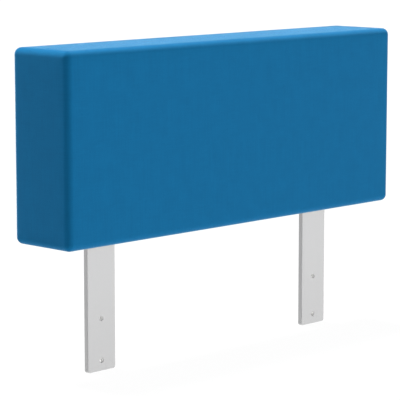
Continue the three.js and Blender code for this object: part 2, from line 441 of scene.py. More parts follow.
def settled_rise(surface, held, pressure):
    """Lets foam pressure push a sheet out by cloth simulation, held where held(point) says. Returns the
    rise at any point, from 0 to 1, as a function."""
    piece = mesh_object("settling", surface.points, surface.quads)
    pins = piece.vertex_groups.new(name="held")
    pins.add([i for i, p in enumerate(surface.points) if held(p)], 1.0, "REPLACE")
    cloth = piece.modifiers.new("Cloth", "CLOTH")
    cloth.settings.vertex_group_mass = "held"
    cloth.settings.quality = 6
    cloth.settings.tension_stiffness = 40
    cloth.settings.compression_stiffness = 40
    cloth.settings.shear_stiffness = 15
    cloth.settings.bending_stiffness = 2
    cloth.settings.use_pressure = True
    cloth.settings.uniform_pressure_force = pressure
    cloth.settings.effector_weights.gravity = 0
    cloth.collision_settings.use_collision = False
    scene = bpy.context.scene
    for step in range(1, 21):
        scene.frame_set(step)
    settled = piece.evaluated_get(bpy.context.evaluated_depsgraph_get()).to_mesh()
    rises = [
        max(0.0, (v.co - p).dot(n)) for v, p, n in zip(settled.vertices, surface.points, surface.normals)
    ]
    peak = max(rises)
    scene.frame_set(1)
    bpy.data.objects.remove(piece)
    if peak < LOST:
        raise RuntimeError("the cloth simulation moved nothing")
    tree = BVHTree.FromPolygons(surface.points, surface.quads)

    def rise(point, _normal):
        spot, _, face, _ = tree.find_nearest(point)
        quad = surface.quads[face]
        weights = poly_3d_calc([surface.points[i] for i in quad], spot)
        return sum(w * rises[i] for w, i in zip(weights, quad)) / peak

    return rise


def turned_down(distance, width, depth):
    """Depth of a rolled edge at a distance from it."""
    if distance >= width:
        return 0.0
    return depth * (1 - math.sqrt(max(0.0, 1 - (1 - distance / width) ** 2)))


def insets(point, low, high):
    """How far inside a box a point lies, along each axis."""
    return [min(point[k] - low[k], high[k] - point[k]) for k in range(3)]


def eased(value):
    """Value cut to 0 to 1, with a smooth start and stop."""
    value = min(1.0, max(0.0, value))
    return value * value * (3 - 2 * value)


# ---- Tubes: thread and wire ----
def add_tube(mesh, path, radius, sides):
    """Adds a round closed tube along a path of points to a bmesh."""
    rings, side = [], None
    for k, p in enumerate(path):
        ahead = (path[min(k + 1, len(path) - 1)] - path[max(k - 1, 0)]).normalized()
        if side is None:
            side = ahead.orthogonal().normalized()
        side = (side - ahead * side.dot(ahead)).normalized()
        other = ahead.cross(side)
        turns = [2 * math.pi * n / sides for n in range(sides)]
        rings.append(
            [mesh.verts.new(p + (side * math.cos(t) + other * math.sin(t)) * radius) for t in turns]
        )
    for a, b in zip(rings, rings[1:]):
        for n in range(sides):
            m = (n + 1) % sides
            mesh.faces.new((a[n], a[m], b[m], b[n]))
    mesh.faces.new(list(reversed(rings[0])))
    mesh.faces.new(rings[-1])


def object_from(mesh, name):
    """A smooth object from a bmesh, which is then freed."""
    bmesh.ops.recalc_face_normals(mesh, faces=mesh.faces)
    data = bpy.data.meshes.new(name)
    mesh.to_mesh(data)
    mesh.free()
    data.shade_smooth()
    return placed(name, data)


def round_rectangle(low, high, pitch):
    """Evenly spaced places round a rectangle: each is its point, the way along, and the way inwards."""
    corners = [(low[0], low[1]), (high[0], low[1]), (high[0], high[1]), (low[0], high[1])]
    for k, start in enumerate(corners):
        start, stop = Vector(start), Vector(corners[(k + 1) % 4])
        along = (stop - start).normalized()
        inwards = Vector((-along.y, along.x))
        count = max(1, round((stop - start).length / pitch))
        for n in range(count):
            yield start.lerp(stop, (n + 0.5) / count), along, inwards


# ---- Shader node groups ----
class Tree:
    """Short calls that add nodes to a shader tree and join them up."""

    def __init__(self, tree):
        self.tree = tree

    def feed(self, socket, value):
        if isinstance(value, bpy.types.NodeSocket):
            self.tree.links.new(value, socket)
        elif value is not None:
            socket.default_value = value

    def add(self, kind, inputs=None, **settings):
        node = self.tree.nodes.new("ShaderNode" + kind)
        for key, value in settings.items():
            setattr(node, key, value)
        for key, value in (inputs or {}).items():
            self.feed(node.inputs[key], value)
        return node

    def result(self, kind, operation, values):
        node = self.add(kind, operation=operation)
        for socket, value in zip(node.inputs, values):
            self.feed(socket, value)
        return node.outputs[0]

    def math(self, operation, *values):
        return self.result("Math", operation, values)

    def vector(self, operation, *values):
        return self.result("VectorMath", operation, values)

    def scaled(self, vector, factor):
        node = self.add("VectorMath", {"Scale": factor}, operation="SCALE")
        self.feed(node.inputs[0], vector)
        return node.outputs[0]

    def noise(self, vector, scale, detail=2.0, roughness=0.5):
        inputs = {"Vector": vector, "Scale": scale, "Detail": detail, "Roughness": roughness}
        return self.add("TexNoise", inputs).outputs[0]

    def stretched(self, vector, by):
        return self.vector("MULTIPLY", vector, by)

    def swing(self, value, amount):
        """A value round 0.5 turned into a change of up to amount either way."""
        return self.math("MULTIPLY", self.math("SUBTRACT", value, 0.5), amount)

    def mix(self, factor, a, b):
        """A colour between two."""
        return self.add("Mix", {0: factor, 6: a, 7: b}, data_type="RGBA").outputs[2]

    def choose(self, factor, a, b):
        """A number between two."""
        return self.add("Mix", {0: factor, 2: a, 3: b}, data_type="FLOAT").outputs[0]


def build_weave(t, given):
    """Plain weave: warp and weft yarns that cross over and under, with slubs along each yarn, and painted
    shade in the gaps between the yarns.
    """
    pitch = t.add("CombineXYZ", {k: given["Pitch"] for k in "XYZ"}).outputs[0]
    yarns = t.vector("DIVIDE", given["Plan"], pitch)
    drift = t.add("TexNoise", {"Vector": yarns, "Scale": 0.06, "Detail": 1.0}).outputs[1]
    yarns = t.vector("ADD", yarns, t.scaled(t.vector("SUBTRACT", drift, (0.5, 0.5, 0.5)), 1.6))
    split = t.add("SeparateXYZ", {"Vector": yarns})
    waves = [t.math("SINE", t.math("MULTIPLY", split.outputs[k], math.pi)) for k in (0, 1)]
    over = t.math("GREATER_THAN", t.math("MULTIPLY", *waves), 0.0)
    across, along = [t.math("ABSOLUTE", w) for w in waves]
    warp = t.math("MULTIPLY", t.math("POWER", across, 0.9), t.math("POWER", along, 0.4))
    weft = t.math("MULTIPLY", t.math("POWER", across, 0.4), t.math("POWER", along, 0.9))
    height = t.choose(over, weft, warp)
    warp_slub = t.noise(t.stretched(yarns, (0.5, 0.012, 1.0)), 1.0, 3.0, 0.6)
    weft_slub = t.noise(t.stretched(yarns, (0.025, 0.9, 1.0)), 1.0, 3.0, 0.6)
    slub = t.math("MULTIPLY", t.math("ADD", warp_slub, weft_slub), 0.5)
    cloudy = t.noise(yarns, 0.035, 3.0, 0.55)
    change = t.math("ADD", t.swing(slub, 4.0), t.swing(cloudy, 1.3))
    bright = t.math("MULTIPLY_ADD", change, given["Slub"], 1.0)
    # painted shade: the colour darkens where the yarns dip, in the gaps between them
    painted_gap_shade = t.math("MULTIPLY", t.math("SUBTRACT", 1.0, height), given["Gap"])
    colour = t.scaled(given["Colour"], t.math("SUBTRACT", bright, painted_gap_shade))
    roughness = t.math("MULTIPLY_ADD", height, -0.12, 0.95)
    return colour, roughness, t.math("ADD", height, t.swing(slub, 0.9))


def build_fibres(t, given):
    """A mat of fibres laid every way, with the spots where they are bonded."""
    place = t.scaled(given["Vector"], given["Scale"])
    one = t.noise(t.stretched(place, (1.0, 0.12, 1.0)), 1.0, 4.0, 0.65)
    two = t.noise(t.stretched(place, (0.12, 1.0, 1.0)), 1.0, 4.0, 0.65)
    broad = t.noise(place, 0.08, 2.0)
    fibres = t.math("MULTIPLY", t.math("ADD", one, two), 0.5)
    cells = t.add("TexVoronoi", {"Vector": place, "Scale": 0.5}, feature="F1").outputs[0]
    spots = t.math("MULTIPLY", t.math("LESS_THAN", cells, 0.28), given["Bonds"])
    height = t.math("SUBTRACT", t.math("ADD", fibres, t.swing(broad, 0.8)), spots)
    bright = t.math("MULTIPLY_ADD", t.swing(fibres, 2.0), given["Change"], 1.0)
    bright = t.math("ADD", bright, t.swing(broad, 0.15))
    return t.scaled(given["Colour"], bright), height


def build_timber(t, given):
    """Sawn softwood with its grain along Z: growth rings round a pith that lies outside the board."""
    bend = t.noise(t.stretched(given["Vector"], (6.0, 6.0, 1.2)), 1.0, 2.0)
    split = t.add("SeparateXYZ", {"Vector": t.vector("SUBTRACT", given["Vector"], (0.05, -0.11, 0.0))})
    x, y, _ = split.outputs
    squared = t.math("MULTIPLY_ADD", x, x, t.math("POWER", y, 2.0))
    ring = t.math("DIVIDE", t.math("ADD", t.math("SQRT", squared), t.swing(bend, 0.03)), given["Ring"])
    late = t.math("POWER", t.math("FRACT", ring), 3.0)
    fibre = t.noise(t.stretched(given["Vector"], (900.0, 900.0, 14.0)), 1.0, 3.0, 0.6)
    shade = t.math("ADD", late, t.swing(fibre, 0.5))
    colour = t.mix(shade, given["Early wood"], given["Late wood"])
    roughness = t.math("MULTIPLY_ADD", fibre, 0.25, 0.5)
    return colour, roughness, t.math("ADD", t.math("MULTIPLY", late, 0.4), fibre)


def build_grain(t, given):
    """Small lumps at two scales, for paint, board, plating and foam."""
    fine = t.noise(given["Vector"], given["Scale"], 2.0)
    broad = t.noise(given["Vector"], t.math("MULTIPLY", given["Scale"], 0.13), 2.0)
    height = t.math("MULTIPLY_ADD", broad, 0.6, fine)
    change = t.math("ADD", t.swing(fine, 1.0), t.swing(broad, 1.0))
    return height, t.math("MULTIPLY_ADD", change, given["Change"], 1.0)


def build_handling(t, given):
    """Faint dust and smears from handling, as a change of colour and of roughness."""
    smear = t.noise(given["Vector"], 9.0, 4.0, 0.6)
    dust = t.noise(given["Vector"], 420.0, 2.0)
    specks = t.math("GREATER_THAN", dust, 0.71)
    marks = t.math("ADD", t.swing(smear, 1.6), t.math("MULTIPLY", specks, 0.5))
    mask = t.math("MULTIPLY", marks, given["Amount"])
    return t.math("SUBTRACT", 1.0, mask), t.math("MULTIPLY", mask, 2.0)


GROUPS = {
    "plain weave": (
        build_weave,
        {"Plan": "Vector", "Pitch": "Float", "Colour": "Color", "Slub": "Float", "Gap": "Float"},
        {"Colour": "Color", "Roughness": "Float", "Height": "Float"},
    ),
    "fibre mat": (
        build_fibres,
        {"Vector": "Vector", "Scale": "Float", "Colour": "Color", "Change": "Float", "Bonds": "Float"},
        {"Colour": "Color", "Height": "Float"},
    ),
    "sawn timber": (
        build_timber,
        {"Vector": "Vector", "Early wood": "Color", "Late wood": "Color", "Ring": "Float"},
        {"Colour": "Color", "Roughness": "Float", "Height": "Float"},
    ),
    "fine grain": (
        build_grain,
        {"Vector": "Vector", "Scale": "Float", "Change": "Float"},
        {"Height": "Float", "Lightness": "Float"},
    ),
    "handling": (
        build_handling,
        {"Vector": "Vector", "Amount": "Float"},
        {"Lightness": "Float", "Dulling": "Float"},
    ),
}


def node_group(name):
    """A shader node group from the table above, made once."""
    group = bpy.data.node_groups.get(name)
    if group:
        return group
    build, inputs, outputs = GROUPS[name]
    group = bpy.data.node_groups.new(name, "ShaderNodeTree")
    for way, sockets in (("INPUT", inputs), ("OUTPUT", outputs)):
        for label, kind in sockets.items():
            group.interface.new_socket(label, in_out=way, socket_type=f"NodeSocket{kind}")
    entry = group.nodes.new("NodeGroupInput")
    leave = group.nodes.new("NodeGroupOutput")
    found = build(Tree(group), {s.name: s for s in entry.outputs if s.name})
    for socket, value in zip(leave.inputs, found):
        group.links.new(value, socket)
    return group


# ---- Materials ----
def material(name, build):
    """A material, made once. build(tree, principled) joins its nodes."""
    made = bpy.data.materials.get(name)
    if made:
        return made
    made = bpy.data.materials.new(name)
    made.use_nodes = True
    made.node_tree.nodes.clear()
    t = Tree(made.node_tree)
    shader = t.add("BsdfPrincipled")
    output = t.add("OutputMaterial", {"Surface": shader.outputs[0]})
    output.is_active_output = True
    build(t, shader)
    return made


def use_group(t, name, **inputs):
    node = t.add("Group")
    node.node_tree = node_group(name)
    for key, value in inputs.items():
        t.feed(node.inputs[key.replace("_", " ")], value)
    return node


def set_bump(t, shader, height, distance):
    bump = t.add("Bump", {"Height": height, "Distance": distance, "Strength": 1.0})
    t.feed(shader.inputs["Normal"], bump.outputs[0])


def rgba(colour):
    return (*colour, 1.0)


def cloth_material():
    look = bpy.context.scene.desk_panel_cloth

    def build(t, shader):
        plan = t.add("Attribute", attribute_name="cloth_plan").outputs["Vector"]
        colour = rgba(look.colour)
        # the weave darkens the gaps between the yarns with painted shade, a quarter deep
        weave = use_group(
            t, "plain weave", Plan=plan, Pitch=look.pitch, Colour=colour, Slub=look.slub, Gap=0.25
        )
        t.feed(shader.inputs["Base Color"], weave.outputs["Colour"])
        t.feed(shader.inputs["Roughness"], weave.outputs["Roughness"])
        set_bump(t, shader, weave.outputs["Height"], look.relief)
        shader.inputs["Specular IOR Level"].default_value = 0.05
        shader.inputs["Sheen Weight"].default_value = 0.48
        shader.inputs["Sheen Roughness"].default_value = 0.34
        shader.inputs["Sheen Tint"].default_value = (0.45, 0.78, 1.0, 1.0)

    return material("blue upholstery cloth", build)


def thread_material():
    look = bpy.context.scene.desk_panel_cloth

    def build(t, shader):
        place = t.add("TexCoord").outputs["Object"]
        colour = rgba(look.colour)
        fibres = use_group(
            t, "fibre mat", Vector=place, Scale=9000.0, Colour=colour, Change=0.5, Bonds=0.0
        )
        t.feed(shader.inputs["Base Color"], fibres.outputs["Colour"])
        set_bump(t, shader, fibres.outputs["Height"], 0.05 * MM)
        shader.inputs["Roughness"].default_value = 0.6

    return material("blue thread", build)


def fibre_material(name, colour, scale, relief, change, bonds):
    def build(t, shader):
        place = t.add("TexCoord").outputs["Object"]
        mat = use_group(
            t, "fibre mat", Vector=place, Scale=scale, Colour=colour, Change=change, Bonds=bonds
        )
        t.feed(shader.inputs["Base Color"], mat.outputs["Colour"])
        set_bump(t, shader, mat.outputs["Height"], relief)
        shader.inputs["Roughness"].default_value = 0.95
        shader.inputs["Specular IOR Level"].default_value = 0.2

    return material(name, build)


def timber_material(name, turn):
    """Pine with its grain along Z, or along X if turned."""

    def build(t, shader):
        place = t.add("TexCoord").outputs["Object"]
        if turn:
            split = t.add("SeparateXYZ", {"Vector": place})
            swapped = {"X": split.outputs[2], "Y": split.outputs[1], "Z": split.outputs[0]}
            place = t.add("CombineXYZ", swapped).outputs[0]
        early, late = (0.70, 0.47, 0.23, 1), (0.42, 0.20, 0.07, 1)
        wood = use_group(
            t, "sawn timber", Vector=place, Early_wood=early, Late_wood=late, Ring=4.5 * MM
        )
        t.feed(shader.inputs["Base Color"], wood.outputs["Colour"])
        t.feed(shader.inputs["Roughness"], wood.outputs["Roughness"])
        set_bump(t, shader, wood.outputs["Height"], 0.1 * MM)

    return material(name, build)


def grained_material(name, colour, scale, change, relief, roughness, metallic=0.0, handling=0.0):
    """A plain finish with fine grain and the marks of handling: paint, board, plating or foam."""

    def build(t, shader):
        place = t.add("TexCoord").outputs["Object"]
        grain = use_group(t, "fine grain", Vector=place, Scale=scale, Change=change)
        marks = use_group(t, "handling", Vector=place, Amount=handling)
        light = t.math("MULTIPLY", grain.outputs["Lightness"], marks.outputs["Lightness"])
        t.feed(shader.inputs["Base Color"], t.scaled(colour[:3], light))
        t.feed(shader.inputs["Roughness"], t.math("ADD", marks.outputs["Dulling"], roughness))
        set_bump(t, shader, grain.outputs["Height"], relief)
        shader.inputs["Metallic"].default_value = metallic

    return material(name, build)


def dress(piece, made):
    """Gives a piece its material and its slot, and lets it ride on the only body."""
    piece.data.materials.clear()
    piece.data.materials.append(made)
    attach(piece, "root")


# ---- Cover ----
HEM = 55 * MM  # the cover's turn under the panel
LET_OUT = 0.2 * MM  # both edges of the back seam are let out by this, to meet
RETURN = BACK_PANEL[0].x - COVER[0].x - 0.5 * MM + LET_OUT  # the cover's turn on to the back


def cover_keep(axis, end, middle):
    """The cover has no cloth behind the back panel, nor inside the hem underneath."""
    x, y, z = middle
    if axis == 1 and end > 0:
        inside_x = COVER[0].x + RETURN < x < COVER[1].x - RETURN
        return not (inside_x and COVER[0].z + RETURN < z < COVER[1].z - RETURN)
    if axis == 2 and end < 0:
        return not (COVER[0].x + HEM < x < COVER[1].x - HEM and COVER[0].y + HEM < y < COVER[1].y - HEM)
    return True


SEAM_LINES = [step * MM for step in (0, 0.3, 0.7, 1.2, 1.8, 2.5)]  # extra lines of points beside a seam
CLOTH_STEPS = (1.6 * MM, 9 * MM, 26 * MM)  # step near an edge, step elsewhere, width of the strip near it


def cover_surface(fine, coarse, band, arc_steps):
    radius = bpy.context.scene.desk_panel_cover.radius
    marks = []
    for k in range(3):
        ends = [COVER[0][k] + RETURN - n for n in SEAM_LINES]
        ends += [COVER[1][k] - RETURN + n for n in SEAM_LINES]
        hem = [COVER[0][k] + HEM, COVER[1][k] - HEM]
        marks.append((ends if k != 1 else []) + (hem if k != 2 else []))
    return rounded_box(*COVER, radius, marks, cover_keep, fine, coarse, band, arc_steps)


def edge_ease(point, normal, look):
    """The faces start to fall away a little before the rounded edges, and the edges are fuller for it."""
    turn = math.asin(min(1.0, sorted(abs(c) for c in normal)[1]))
    slope = 2 * look.ease / look.ease_width
    if turn > LOST:
        turn = min(turn, math.pi / 4)
        return -look.ease - slope * look.radius * (turn - turn**2 / HALF_PI)
    flat = sorted(insets(point, *COVER))[1] - look.radius
    return -look.ease * max(0.0, 1 - flat / look.ease_width) ** 2


def seam_distance(point):
    """How far a point on the back is from the seam round the back panel."""
    low, high = BACK_PANEL
    across = max(low.x - point.x, point.x - high.x)
    up = max(low.z - point.z, point.z - high.z)
    return abs(max(across, up))


def ripples(point, distance, height):
    """Small ripples square to a seam, which die away from it."""
    low, high = BACK_PANEL
    beside = max(low.x - point.x, point.x - high.x) > max(low.z - point.z, point.z - high.z)
    along = point.z if beside else point.x
    wave = math.sin(along / (4.5 * MM) + 2 * noise.noise(Vector((along * 35, 1.7, 0))))
    return height * wave * math.exp(-distance / (6 * MM)) * eased(distance / (2 * MM))


def corner_fold(point, height):
    """A mitred fold at each corner of the back and of the underside: one side laps over the other."""
    reach, fade = 26 * MM, 14 * MM  # length of the fold, and of the strip where it dies away
    first, rise = 14 * MM, 8 * MM  # where the fold starts from the edges, and how soon it is full
    step, width = 1.6 * MM, 16 * MM  # steepness of the lap, and its width
    inset = insets(point, *COVER)
    if point.y > COVER[1].y - 2 * MM:
        a, b = inset[0], inset[2]
    elif point.z < COVER[0].z + 2 * MM:
        a, b = inset[0], inset[1]
    else:
        return 0.0
    near = 1 - eased((max(a, b) - reach) / fade)
    start = eased((min(a, b) - first) / rise)
    lap = eased((a - b) / step + 0.5) * (1 - eased((a - b) / width))
    return height * near * start * lap


def make_cover():
    """The fitted cover, one sheet round the front, ends and top, turned under and on to the back."""
    look = bpy.context.scene.desk_panel_cover
    low, high = COVER
    coarse = cover_surface(6 * MM, 15 * MM, 20 * MM, 2)
    edge = look.radius * 1.02

    def held(p):
        inset = sorted(insets(p, low, high))[1]
        return inset < edge or p.z < low.z + LOST or p.y > high.y - LOST

    rise = settled_rise(coarse, held, look.pressure)

    def height(point, normal):
        lift = look.crown * rise(point, normal) + edge_ease(point, normal, look)
        lift += 0.12 * MM * noise.noise(point * 9) + 0.05 * MM * noise.noise(point * 41)
        lift += corner_fold(point, look.fold)
        if normal.y > 0.9:
            away = seam_distance(point)
            lift += ripples(point, away, look.pucker) - turned_down(away, look.roll, look.sink)
        return lift

    surface = cover_surface(*CLOTH_STEPS, 6).raised(height)
    cover = surface.thickened("cover", look.thickness)
    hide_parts("cover_wrap")
    dress(cover, cloth_material())


class DESKPANEL_OT_cover(bpy.types.Operator):
    """Make the fitted cloth cover"""

    bl_idname = "desk_panel.cover"
    bl_label = "Cover"

    def execute(self, context):
        make_cover()
        return {"FINISHED"}


class DESKPANEL_OT_back_panel(bpy.types.Operator):
    """Make the cloth panel sewn on to the back"""

    bl_idname = "desk_panel.back_panel"
    bl_label = "Back panel"

    def execute(self, context):
        look = context.scene.desk_panel_cover
        low, high = BACK_PANEL
        low, high = low - Vector((LET_OUT, 0, LET_OUT)), high + Vector((LET_OUT, 0, LET_OUT))
        across, up = [
            spaced(a, b, [a + n for n in SEAM_LINES] + [b - n for n in SEAM_LINES], *CLOTH_STEPS)
            for a, b in ((low.x, high.x), (low.z, high.z))
        ]
        half = (high - low) / 2

        def height(point, normal):
            away = min(half.x - abs(point.x), point.z - low.z, high.z - point.z)
            crown = eased(away / (120 * MM)) * look.crown * 0.7
            return crown + ripples(point, away, look.pucker) - turned_down(away, look.roll, look.sink)

        surface = flat_sheet(high.y, 1, 1, across, up).raised(height)
        panel = surface.thickened("back_panel", look.thickness)
        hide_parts("cover_back_panel")
        dress(panel, cloth_material())
        return {"FINISHED"}


class DESKPANEL_OT_stitches(bpy.types.Operator):
    """Make the hand stitches that close the back panel's seam"""

    bl_idname = "desk_panel.stitches"
    bl_label = "Stitches"

    def execute(self, context):
        look = context.scene.desk_panel_fixing
        low, high = BACK_PANEL
        mesh = bmesh.new()
        for spot, along, inwards in round_rectangle((low.x, low.z), (high.x, high.z), look.stitch_pitch):
            path = []
            for k in range(7):
                share = k / 6 - 0.5
                flat = spot + inwards * (3.0 * MM * share) + along * (1.2 * MM * share)
                path.append(Vector((flat.x, high.y - 1.8 * MM * share**2, flat.y)))
            add_tube(mesh, path, look.thread / 2, 8)
        stitches = object_from(mesh, "seam_stitches")
        dress(stitches, thread_material())
        return {"FINISHED"}


# ---- Underside ----
def staple_places(look):
    inset = 6 * MM
    low, high = DUST_COVER
    return round_rectangle(
        (low.x + inset, low.y + inset), (high.x - inset, high.y - inset), look.staple_pitch
    )


class DESKPANEL_OT_dust_cover(bpy.types.Operator):
    """Make the black cloth under the panel, cut round the straps"""

    bl_idname = "desk_panel.dust_cover"
    bl_label = "Dust cover"

    def execute(self, context):
        low, high = DUST_COVER
        room = 2 * MM
        slots = [(b[0].x - room, b[1].x + room, b[0].y - room, b[1].y + room) for b in STRAPS.values()]
        marks_x = [x for s in slots for x in s[:2]]
        marks_y = [y for s in slots for y in s[2:]]
        across = spaced(low.x, high.x, marks_x, 3 * MM, 4 * MM, 20 * MM)
        up = spaced(low.y, high.y, marks_y, 2 * MM, 3 * MM, 20 * MM)
        staples = [spot for spot, _, _ in staple_places(context.scene.desk_panel_fixing)]

        def in_slot(x, y):
            return any(s[0] < x < s[1] and s[2] < y < s[3] for s in slots)

        def height(point, _normal):
            flat = Vector((point.x, point.y))
            away = min(point.x - low.x, high.x - point.x, point.y - low.y, high.y - point.y)
            pulled = min((flat - s).length for s in staples)
            slack = 0.9 * MM * noise.noise(Vector((point.x * 16, point.y * 26, 3)))
            edge = 0.35 * MM * math.sin(point.x / (11 * MM)) * (1 - eased(away / (9 * MM)))
            return (slack * eased(away / (30 * MM)) + edge) * eased(pulled / (14 * MM)) + 0.2 * MM

        thickness = high.z - low.z
        surface = flat_sheet(low.z, 2, -1, across, up, in_slot).raised(height)
        cloth = surface.thickened("underside_cloth", thickness)
        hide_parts("dust_cover")
        made = fibre_material("black lining cloth", (0.018, 0.018, 0.02, 1), 1400.0, 0.2 * MM, 0.6, 0.7)
        dress(cloth, made)
        return {"FINISHED"}


class DESKPANEL_OT_staples(bpy.types.Operator):
    """Make the staples that hold the black cloth"""

    bl_idname = "desk_panel.staples"
    bl_label = "Staples"

    def execute(self, context):
        look = context.scene.desk_panel_fixing
        crown = DUST_COVER[0].z - 0.2 * MM - look.staple_wire / 2
        bend, leg = 0.9 * MM, 7 * MM
        mesh = bmesh.new()
        for n, (spot, along, inwards) in enumerate(staple_places(look)):
            lean = 0.35 * noise.noise(Vector((n * 1.7, 0.3, 0)))
            across = (along + inwards * lean).normalized()
            half = (look.staple_width - look.staple_wire) / 2
            path = []
            for side in (-1, 1):
                steps = [Vector((side * half, leg))]
                for k in range(5):
                    turn = HALF_PI * k / 4
                    out = half - bend * (1 - math.cos(turn))
                    steps.append(Vector((side * out, bend * (1 - math.sin(turn)))))
                path += steps if side < 0 else list(reversed(steps))
            points = [
                Vector((spot.x + across.x * p.x, spot.y + across.y * p.x, crown + p.y)) for p in path
            ]
            add_tube(mesh, points, look.staple_wire / 2, 8)
        staples = object_from(mesh, "cloth_staples")
        dress(staples, zinc_material())
        return {"FINISHED"}


# ---- Wadding and foam ----
class DESKPANEL_OT_wadding(bpy.types.Operator):
    """Make the thin wadding between cover and foam"""

    bl_idname = "desk_panel.wadding"
    bl_label = "Wadding"

    def execute(self, context):
        radius = context.scene.desk_panel_cover.wadding
        low, high = WADDING
        thickness = 1.7 * MM

        def keep(_axis, _end, middle):
            return middle[2] > low.z

        bottom = Vector((low.x, low.y, low.z - radius))
        marks = [[], [], [low.z]]
        surface = rounded_box(bottom, high, radius, marks, keep, 6 * MM, 12 * MM, 26 * MM, 4)

        def height(point, normal):
            pressed = 0.0
            if normal.y > 0.9:
                pressed = 0.5 * MM * math.exp(-((seam_distance(point) / (4 * MM)) ** 2))
            return 0.12 * MM * noise.noise(point * 55) - 0.15 * MM - pressed

        surface.raised(height)
        wadding = surface.thickened("wadding", thickness)
        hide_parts("wadding_wrap")
        made = fibre_material("white wadding", (0.7, 0.7, 0.67, 1), 900.0, 0.6 * MM, 0.15, 0.0)
        dress(wadding, made)
        return {"FINISHED"}


def soft_block(name, node):
    """Foam cut to a CAD piece's shape: remeshed fine, softened, and drawn in a little where cut."""
    block = placed(name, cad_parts[node].data.copy())
    remesh = block.modifiers.new("Remesh", "REMESH")
    remesh.mode = "VOXEL"
    remesh.voxel_size = 4.5 * MM
    smooth = block.modifiers.new("Smooth", "SMOOTH")
    smooth.iterations = 3
    data = evaluated_mesh(block)
    block.modifiers.clear()
    block.data = data
    data.name = name
    normals = [v.normal.copy() for v in data.vertices]
    for vertex, normal in zip(data.vertices, normals):
        spot = vertex.co
        swell = 0.3 * MM * (noise.noise(spot * 22) - 0.4) + 0.1 * MM * noise.noise(spot * 160)
        vertex.co = spot + normal * swell
    data.shade_smooth()
    return block


class DESKPANEL_OT_foam(bpy.types.Operator):
    """Make the foam pads on the front, back, top and ends"""

    bl_idname = "desk_panel.foam"
    bl_label = "Foam"

    def execute(self, context):
        made = grained_material("cream foam", (0.80, 0.72, 0.42), 900.0, 0.18, 0.5 * MM, 0.95)
        for node in FOAM_PIECES:
            pad = soft_block(f"{node}_pad", node)
            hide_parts(node)
            dress(pad, made)
        return {"FINISHED"}


# ---- Frame and fixings: CAD pieces with better finishes ----
def zinc_material():
    return grained_material(
        "zinc plate", (0.62, 0.64, 0.66), 700.0, 0.12, 0.02 * MM, 0.32, metallic=1.0, handling=0.12
    )


def refinish(nodes, made):
    """Gives CAD pieces that keep their shape a better material."""
    for name in nodes:
        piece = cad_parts[name]
        piece.data.materials.clear()
        piece.data.materials.append(made)


class DESKPANEL_OT_timber(bpy.types.Operator):
    """Finish the timber frame and its boards"""

    bl_idname = "desk_panel.timber"
    bl_label = "Timber"

    def execute(self, context):
        names = sorted(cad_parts)
        lying = [n for n in names if n.startswith(("rail_", "corner_block"))]
        standing = [n for n in names if n.startswith(("end_board", "centre_stile", "strap_post"))]
        boards = [n for n in names if n.startswith("board_")]
        refinish(lying, timber_material("pine along", True))
        refinish(standing, timber_material("pine upright", False))
        refinish(
            boards,
            grained_material("hardboard", (0.23, 0.115, 0.045), 1500.0, 0.3, 0.12 * MM, 0.55, handling=0.1),
        )
        return {"FINISHED"}


class DESKPANEL_OT_fixings(bpy.types.Operator):
    """Finish the bolts, washers, tee nuts and screws"""

    bl_idname = "desk_panel.fixings"
    bl_label = "Bolts and screws"

    def execute(self, context):
        kinds = ("strap_bolt", "strap_washer", "tee_nut", "screw_")
        refinish([n for n in sorted(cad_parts) if n.startswith(kinds)], zinc_material())
        return {"FINISHED"}


# ---- Straps ----
def add_ring(curve, points):
    spline = curve.splines.new("POLY")
    spline.points.add(len(points) - 1)
    for target, (x, y) in zip(spline.points, points):
        target.co = (x, y, 0, 1)
    spline.use_cyclic_u = True


def arc(x, y, radius, start, stop, steps):
    turns = [start + (stop - start) * k / steps for k in range(steps + 1)]
    return [(x + radius * math.cos(t), y + radius * math.sin(t)) for t in turns]


